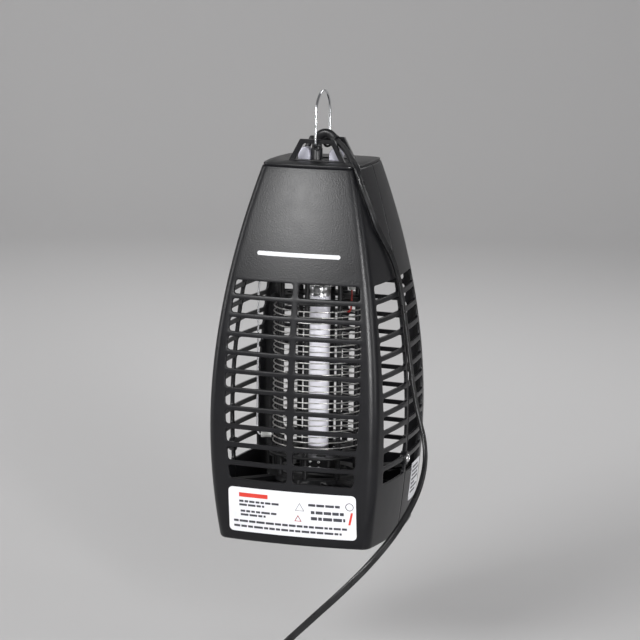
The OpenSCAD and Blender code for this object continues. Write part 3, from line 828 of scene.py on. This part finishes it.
def make_shell(name, front):
    """The front or rear shell: a whole face and the nearer half of each side face."""
    main, near = (0, 1) if front else (2, -1)
    halves = [bent(main, -1), bent(main, 1), bent(1, -near, JOINT), bent(3, near, JOINT)]
    shell = make_object(name, *joined(*halves), 30)
    work = bmesh.new()
    work.from_mesh(shell.data)
    rim = [e for e in work.edges if len(e.link_faces) == 1]
    bmesh.ops.holes_fill(work, edges=rim, sides=0)
    bmesh.ops.recalc_face_normals(work, faces=work.faces)
    still_open = sum(len(e.link_faces) != 2 for e in work.edges)
    work.to_mesh(shell.data)
    work.free()
    print(name, "closed", len(rim), "joint edges;", still_open, "still open")
    return shell


front_shell = make_shell("front_half", True)
rear_shell = make_shell("rear_half", False)
finish_piece(front_shell, HOUSING, "housing", "black_housing", "front_shell")
finish_piece(rear_shell, HOUSING, "housing", "black_housing", "rear_shell")

# %% [markdown]
# ## Screw bosses
#
# Each side face has a low round pad where a screw pulls the two shells together. It is a
# profile turned about the screw's own axis, and sinks into the wall so that no gap shows.

# %% Screw bosses
screw_half = half_at(SCREW_DEPTH)
pad = [(0.0, -3.5), (5.5, -3.5), (5.5, 0.5), (5.35, 0.85), (5.0, 1.0), (1.7, 1.0), (1.7, 0.0), (0.0, 0.0)]
pads = []
for side in (-1, 1):
    profile = [(r, side * (screw_half + h)) for r, h in pad]
    pads.append(turned(profile, (0, 0, TOP - SCREW_DEPTH), "x", 40))
finish_piece(make_object("boss_pads", *joined(*pads)), HOUSING, "housing", "black_housing")

# %% [markdown]
# ## Moulded parts with soft edges
#
# The cap, the base, the tray and most inner parts already have their right shape in the
# frame. A moulded edge is never sharp, though. Modelling them again would risk their fit, so
# each of them is copied here, its flat faces are joined up again, and its edges are rounded
# by a few tenths of a millimetre.


# %% Rounded copies of CAD nodes
def rounded_copy(node_name, width, material, body, slot):
    """A CAD node's shape with its edges rounded, as a piece that stands for it."""
    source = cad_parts[node_name]
    mesh = source.data.copy()
    work = bmesh.new()
    work.from_mesh(mesh)
    bmesh.ops.remove_doubles(work, verts=work.verts, dist=0.002 * MM)
    flat = math.radians(1.0)
    bmesh.ops.dissolve_limit(work, angle_limit=flat, verts=work.verts, edges=work.edges, delimit={"NORMAL"})
    work.to_mesh(mesh)
    work.free()
    obj = bpy.data.objects.new(node_name + "_soft", mesh)
    bpy.context.collection.objects.link(obj)
    bevel = obj.modifiers.new("bevel", "BEVEL")
    bevel.width = width * MM
    bevel.segments = 2
    bevel.limit_method = "ANGLE"
    bevel.angle_limit = math.radians(32)
    bpy.context.view_layer.update()
    solid = bpy.data.meshes.new_from_object(obj.evaluated_get(bpy.context.evaluated_depsgraph_get()))
    obj.modifiers.clear()
    obj.data = solid
    for f in solid.polygons:
        f.use_smooth = True
    solid.set_sharp_from_angle(angle=math.radians(40))
    finish_piece(obj, material, body, slot, node_name)


# %% Round them
rounded_copy("top_cap", 0.45, HOUSING, "housing", "black_housing")
rounded_copy("cord_clamp", 0.5, CLAMP, "housing", "clamp_plastic")
rounded_copy("insect_tray", 0.5, INNER, "tray", "black_inner")
rounded_copy("base_frame", 0.4, INNER, "housing", "black_inner")
rounded_copy("cage_carrier", 0.4, INNER, "housing", "black_inner")
rounded_copy("lamp_holder_top", 0.5, WHITE, "housing", "holder_white")
rounded_copy("lamp_holder_bottom", 0.5, INNER, "housing", "black_inner")
rounded_copy("grid_plate_top", 0.3, INNER, "housing", "black_inner")
rounded_copy("grid_plate_bottom", 0.3, INNER, "housing", "black_inner")
rounded_copy("shell_screws", 0.15, SCREW, "housing", "screw_steel")

# %% [markdown]
# ## The bail
#
# The bail is one piece of round wire: two legs, an arch on top and two short ends that hook
# through the eyelets. A bevelled curve would do, but half the route with its bends as arcs,
# mirrored, keeps both legs alike. It swings, so it rides on a body of its own.

# %% Bail
bail_low, bail_high = (np.array(c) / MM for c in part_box("hanging_bail"))
wire_r = bail_high[0]
leg_y = bail_high[1] - wire_r
pin_z = bail_low[2] + wire_r
arch_z = bail_high[2] - wire_r - leg_y
BEND, END_Y = 2.5, 9.0
quarter = [math.radians(a) for a in range(0, 91, 9)]
half_bail = [(0, y, pin_z) for y in np.linspace(END_Y, leg_y - BEND, 6)]
half_bail += [(0, leg_y - BEND + BEND * math.sin(a), pin_z + BEND - BEND * math.cos(a)) for a in quarter[1:]]
leg_zs = np.linspace(pin_z + BEND, arch_z, 12)[1:]
leg_bow = [0.35 * math.sin(math.pi * (z - pin_z) / (arch_z - pin_z)) for z in leg_zs]
half_bail += [(0, leg_y + bow, z) for bow, z in zip(leg_bow, leg_zs)]
arch = np.linspace(0, math.pi / 2, 22)[1:]
half_bail += [(0, leg_y * math.cos(a), arch_z + leg_y * math.sin(a)) for a in arch]
bail_path = half_bail + [(0, -y, z) for x, y, z in reversed(half_bail[:-1])]
wire_ring = circle_section(wire_r, 14)
bail = make_object("wire_bail", *sweep(bail_path, lambda share: wire_ring, lambda p, i: np.array([1, 0, 0])))
finish_piece(bail, WIRE, "bail", "zinc_wire", "hanging_bail")

# %% [markdown]
# ## The wire cage
#
# Twenty-five hoops stand one above the other, every second one live. A node tree makes one
# hoop by sweeping a small circle round a big one, and sets it on every point of a line. The
# same tree makes both sets, with their own heights and numbers of hoops.

# %% The hoops' tree
tree, given, link = start_tree("hoop_stack", {
    "Radius": ("NodeSocketFloat", 0.036),
    "Wire": ("NodeSocketFloat", 0.0005),
    "Top": ("NodeSocketFloat", 0.0),
    "Step": ("NodeSocketFloat", -0.009),
    "Hoops": ("NodeSocketInt", 12),
})
ring = tree.nodes.new("GeometryNodeCurvePrimitiveCircle")
ring.inputs["Resolution"].default_value = 96
wire = tree.nodes.new("GeometryNodeCurvePrimitiveCircle")
wire.inputs["Resolution"].default_value = 10
tube = tree.nodes.new("GeometryNodeCurveToMesh")
first_place = tree.nodes.new("ShaderNodeCombineXYZ")
step_vector = tree.nodes.new("ShaderNodeCombineXYZ")
stack = tree.nodes.new("GeometryNodeMeshLine")
hoop_spots = tree.nodes.new("GeometryNodeInstanceOnPoints")
link(given["Radius"], ring.inputs["Radius"])
link(given["Wire"], wire.inputs["Radius"])
link(ring.outputs["Curve"], tube.inputs["Curve"])
link(wire.outputs["Curve"], tube.inputs["Profile Curve"])
link(given["Top"], first_place.inputs["Z"])
link(given["Step"], step_vector.inputs["Z"])
link(given["Hoops"], stack.inputs["Count"])
link(first_place.outputs["Vector"], stack.inputs["Start Location"])
link(step_vector.outputs["Vector"], stack.inputs["Offset"])
link(stack.outputs["Mesh"], hoop_spots.inputs["Points"])
link(tube.outputs["Mesh"], hoop_spots.inputs["Instance"])
end_tree(tree, hoop_spots.outputs["Instances"], CAGE)


# %% Hoops
HOOP_WIRE_R, HOOP_STEP = 0.5 * MM, -9.0 * MM


def hoop_set(name, node_name):
    low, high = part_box(node_name)
    count = round((low[2] - high[2] + 2 * HOOP_WIRE_R) / HOOP_STEP) + 1
    mesh = grow_mesh(name, tree, {
        "Radius": high[0] - HOOP_WIRE_R, "Wire": HOOP_WIRE_R, "Top": high[2] - HOOP_WIRE_R,
        "Step": HOOP_STEP, "Hoops": count,
    })
    for f in mesh.polygons:
        f.use_smooth = True
    obj = bpy.data.objects.new(name, mesh)
    bpy.context.collection.objects.link(obj)
    print(name, count, "hoops")
    finish_piece(obj, CAGE, "housing", "cage_wire", node_name)


hoop_set("live_hoops", "grid_wires_live")
hoop_set("return_hoops", "grid_wires_return")

# %% [markdown]
# ## The lamp
#
# A fluorescent lamp is a glass tube with drawn-in ends and a crimped metal cap on each. Both
# are round all over, so each is a profile turned about the lamp's axis.

# %% The lamp
tube_low, tube_high = (np.array(c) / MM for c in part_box("lamp_tube"))
lamp_r = tube_high[0]
SHOULDER_R = 1.2
shoulder = [(math.sin(a), 1 - math.cos(a)) for a in np.linspace(0, math.pi / 2, 6)]
ends = [(lamp_r - SHOULDER_R + SHOULDER_R * s, SHOULDER_R * c) for s, c in shoulder]
glass = [(0.0, tube_low[2])]
glass += [(r, tube_low[2] + h) for r, h in ends]
glass += [(lamp_r, tube_low[2] + h) for h in np.linspace(3, tube_high[2] - tube_low[2] - 3, 8)]
glass += [(r, tube_high[2] - h) for r, h in reversed(ends)]
glass += [(0.0, tube_high[2])]
finish_piece(make_object("lamp_glass", *turned(glass, (0, 0, 0))), LAMP, "housing", "lamp_glass", "lamp_tube")
caps_low, caps_high = (np.array(c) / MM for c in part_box("lamp_caps"))
cap_shape = [
    (0.0, 0.0), (6.6, 0.0), (7.6, 0.4), (8.0, 1.2), (8.1, 2.0), (8.1, 5.4), (7.9, 5.7), (7.9, 6.2),
    (8.1, 6.5), (8.1, 8.0), (0.0, 8.0),
]
lower_cap = [(r, caps_low[2] + h) for r, h in cap_shape]
upper_cap = [(r, caps_high[2] - h) for r, h in cap_shape]
caps = [turned(profile, (0, 0, 0)) for profile in (lower_cap, upper_cap)]
finish_piece(make_object("lamp_end_caps", *joined(*caps)), LAMP_METAL, "housing", "lamp_metal", "lamp_caps")

# %% [markdown]
# ## Labels and prints
#
# The labels are thin sheets that follow the wall, and so is each print on them. An image on
# a flat card would be simpler, but it would float off the bowed face. The layout is generic: a
# heading bar, rows of plain dashes, and simple outlined shapes. A plain silver bar stands on
# the upper panel.


# %% Wrapped sheets
def wrapped_sheet(face, x0, x1, d0, d1, corner, outer, inner, columns, lines):
    """Closed thin sheet with round corners between two insets, bent onto a face."""
    xs = np.linspace(x0, x1, columns + 1)
    ease = [corner * (1 - math.cos(a)) for a in np.linspace(0, math.pi / 2, 6)]
    between = xs[(xs > x0 + corner) & (xs < x1 - corner)]
    xs = [*(x0 + e for e in ease), *between, *(x1 - e for e in reversed(ease))]
    middle, half_h = (d0 + d1) / 2, (d1 - d0) / 2
    points = []
    for inset in (outer, inner):
        for x in xs:
            near = max(0.0, corner - min(x - x0, x1 - x))
            h = half_h - corner + math.sqrt(max(0.0, corner**2 - near**2))
            points += [skin(face, x, middle + h * (2 * j / lines - 1), inset) for j in range(lines + 1)]
    n, m = len(xs), lines + 1
    squares = [i * m + j for i in range(n - 1) for j in range(lines)]
    top = [(k, k + 1, k + m + 1, k + m) for k in squares]
    under = [tuple(n * m + k for k in reversed(f)) for f in top]
    loop = [i * m for i in range(n)] + [(n - 1) * m + j for j in range(1, m)]
    loop += [i * m + lines for i in range(n - 2, -1, -1)] + [j for j in range(lines - 1, 0, -1)]
    rim = [(a, b, n * m + b, n * m + a) for a, b in zip(loop, loop[1:] + loop[:1])]
    return points, top + under + rim


# %% Wrapped shapes
def wrapped_outline(face, corners, outer, inner):
    """Closed thin solid over a polygon of (x, depth) corners."""
    n = len(corners)
    points = [skin(face, x, d, inset) for inset in (outer, inner) for x, d in corners]
    faces = [tuple(range(n)), tuple(range(2 * n - 1, n - 1, -1))]
    return points, faces + [(j, (j + 1) % n, n + (j + 1) % n, n + j) for j in range(n)]


def ring_outline(face, x, d, radius, width, sides, turn, outer, inner):
    """Outlined regular polygon, made of one thin piece for each of its sides."""
    corner_at = [math.radians(turn + 360 * j / sides) for j in range(sides + 1)]
    parts = []
    for a, b in zip(corner_at, corner_at[1:]):
        bar = [(radius, a), (radius, b), (radius - width, b), (radius - width, a)]
        corners = [(x + r * math.cos(t), d - r * math.sin(t)) for r, t in bar]
        parts.append(wrapped_outline(face, corners, outer, inner))
    return joined(*parts)


def dashes(face, x0, x1, d0, d1, rng):
    """A row of plain dashes of uneven length."""
    parts, x = [], x0
    while x < x1 - 1.5:
        end = min(x1, x + rng.uniform(2.5, 7.5))
        parts.append(wrapped_sheet(face, x, end, d0, d1, 0.25, PRINT_OUT, PRINT_IN, 2, 1))
        x = end + 0.9
    return joined(*parts)


# %% Front label
PRINT_OUT, PRINT_IN = -0.46, -0.36
SHEET_OUT, SHEET_IN = -0.38, -0.03
LEFT, UPPER = -51.0, 250.3
front_sheet = wrapped_sheet(0, LEFT, LEFT + 103.5, UPPER, UPPER + 36, 3.5, SHEET_OUT, SHEET_IN, 40, 8)
front_sheet = make_object("front_paper", *front_sheet)
finish_piece(front_sheet, PAPER, "housing", "label_paper", "front_label")

# %% The front label's print
rng = random.Random(4)
text_rows = [
    (9, 42, 10.2, 11.9), (9, 30, 13.2, 14.9), (10, 40, 18.2, 19.9), (10, 31, 21.2, 22.9), (66, 91, 8.4, 10.4),
    (68, 94, 14.0, 16.4), (68, 95, 18.8, 21.4), (4, 98, 26.4, 28.2), (4, 92, 30.6, 32.4),
]
rows = [dashes(0, LEFT + a, LEFT + b, UPPER + c, UPPER + d, rng) for a, b, c, d in text_rows]
rows.append(ring_outline(0, LEFT + 59, UPPER + 12.6, 4.2, 0.6, 3, 90, PRINT_OUT, PRINT_IN))
rows.append(ring_outline(0, LEFT + 98.5, UPPER + 9.0, 3.2, 0.5, 16, 0, PRINT_OUT, PRINT_IN))
finish_piece(make_object("front_dark_print", *joined(*rows)), INK, "housing", "label_paper")
red = [wrapped_sheet(0, LEFT + 9, LEFT + 33, UPPER + 4.2, UPPER + 7.6, 0.4, PRINT_OUT, PRINT_IN, 8, 1)]
red.append(ring_outline(0, LEFT + 57.5, UPPER + 21.6, 3.4, 1.0, 3, 90, PRINT_OUT, PRINT_IN))
slash = [(99.5, 13.6), (101.2, 13.6), (99.0, 23.6), (97.3, 23.6)]
red.append(wrapped_outline(0, [(LEFT + x, UPPER + d) for x, d in slash], PRINT_OUT, PRINT_IN))
finish_piece(make_object("front_red_print", *joined(*red)), RED_INK, "housing", "label_paper")

# %% Side label and the silver bar
side_sheet = make_object("side_paper", *wrapped_sheet(1, 21, 53, 241, 272, 2.5, SHEET_OUT, SHEET_IN, 16, 6))
finish_piece(side_sheet, PAPER, "housing", "label_paper", "side_label")
side_rows = []
for i, w in enumerate((20, 26, 23, 25, 14, 24, 18)):
    row_top = 244 + 3.4 * i
    side_rows.append(dashes(1, 24, 24 + w, row_top, row_top + 1.6, rng))
finish_piece(make_object("side_dark_print", *joined(*side_rows)), INK, "housing", "label_paper")
silver = make_object("silver_bar", *wrapped_sheet(0, -33.5, 33.5, 66.0, 69.2, 1.55, -0.06, 0.05, 30, 2))
finish_piece(silver, SILVER_INK, "housing", "label_paper")

# %% [markdown]
# ## Parts that stay as they are
#
# The board with its parts, the posts, the wires and the small screws sit deep behind the
# grille. Their shapes in the frame are good enough there, so they only get their finishes.

# %% Paint the CAD nodes that stay
KEPT = {
    "cord_tail": CORD, "carrier_screws": SCREW, "grid_posts": INNER, "lamp_pins": LAMP_METAL,
    "holder_rivets": SCREW, "electronics_shelf": INNER, "circuit_board": BOARD, "board_screws": SCREW,
    "ballast_core": CORE, "ballast_coil": COPPER, "capacitors": CAPACITOR, "resistors": RESISTOR,
    "diodes": DIODE, "live_lead": RED_LEAD, "return_lead": GREY_LEAD, "lead_sleeves": WHITE,
}
for node_name, material in KEPT.items():
    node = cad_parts[node_name]
    node.data.materials.clear()
    node.data.materials.append(material)
print(len(KEPT), "CAD nodes painted")

# %% [markdown]
# ## Stage
#
# The zapper hangs above a pale surface, and the cord's coil lies on it. The floor curves up
# into a wall all round, like a wide dish, so no horizon shows from any side.


# %% Floor and wall
def make_floor():
    flat, curve, wall_top, sides = 2.4, 1.0, 3.2, 64
    profile = [(0.02, 0.0), (flat, 0.0)]
    for a in range(10, 91, 10):
        turn = math.radians(a)
        profile.append((flat + curve * math.sin(turn), curve * (1 - math.cos(turn))))
    profile.append((flat + curve, wall_top))
    points = []
    for j in range(sides):
        turn = 2 * math.pi * j / sides
        points += [(r * math.cos(turn), r * math.sin(turn), SURFACE * MM + z) for r, z in profile]
    n = len(profile)
    faces = [tuple(j * n for j in range(sides))]
    for j in range(sides):
        k = (j + 1) % sides
        faces += [(j * n + i, j * n + i + 1, k * n + i + 1, k * n + i) for i in range(n - 1)]
    mesh = bpy.data.meshes.new("floor")
    mesh.from_pydata(points, [], faces)
    for f in mesh.polygons:
        f.use_smooth = True
    floor = bpy.data.objects.new("floor", mesh)
    bpy.context.collection.objects.link(floor)
    material, nodes, links, shader = node_material("pale_floor")
    shader.inputs["Base Color"].default_value = (0.56, 0.555, 0.555, 1)
    shader.inputs["Roughness"].default_value = 0.7
    mesh.materials.append(material)
    print("floor", flat + curve, "m in radius")


make_floor()

# %% [markdown]
# ## Lights
#
# Black plastic shows hardly any colour of its own: what is seen is what it reflects. So each
# light is a panel with a purpose. The key, to the left and above, shows as a soft sheen on the
# sloped upper front. Narrow panels draw a line of light down the front right corner, touch
# the left edge and pick out the screws. A weak one lights the back, one lights the wall
# behind, and a weak even world fills the rest.


# %% Lights
def soft_light(name, place, target, size, power, opening=180):
    """Panel of light that faces its target; opening is the angle that its light spreads over."""
    data = bpy.data.lights.new(name, "AREA")
    data.shape = "RECTANGLE"
    data.size, data.size_y = size
    data.energy = power
    data.spread = math.radians(opening)
    lamp = bpy.data.objects.new(name, data)
    lamp.location = place
    direction = np.subtract(target, place)
    yaw = math.atan2(direction[0], -direction[1])
    tilt = math.atan2(math.hypot(direction[0], direction[1]), -direction[2])
    lamp.rotation_euler = (tilt, 0, yaw + math.pi)
    bpy.context.collection.objects.link(lamp)


middle = (0, 0, -0.18)
soft_light("key", (-0.62, -1.75, 0.72), middle, (0.75, 0.55), 29)
soft_light("corner", (0.93, -1.43, 0.16), (0, 0, -0.05), (0.12, 0.9), 3.2, 60)
soft_light("side", (1.5, -0.35, 0.05), middle, (0.12, 0.8), 0.7, 70)
soft_light("left", (-1.7, -0.3, 0.2), middle, (0.25, 1.1), 1.6, 90)
soft_light("rear", (0.9, 1.7, 1.1), middle, (0.9, 0.9), 5, 120)
soft_light("back", (-0.5, 1.0, 1.3), (-0.65, 2.0, -0.2), (1.0, 0.8), 14, 150)

# %% World
world = bpy.data.worlds.new("world")
world.use_nodes = True
sky = world.node_tree.nodes["Background"]
sky.inputs["Color"].default_value = (0.9, 0.9, 0.93, 1)
sky.inputs["Strength"].default_value = 0.18
bpy.context.scene.world = world
bpy.context.scene.view_settings.view_transform = "Standard"
print(len(bpy.data.lights), "lights and the world set")
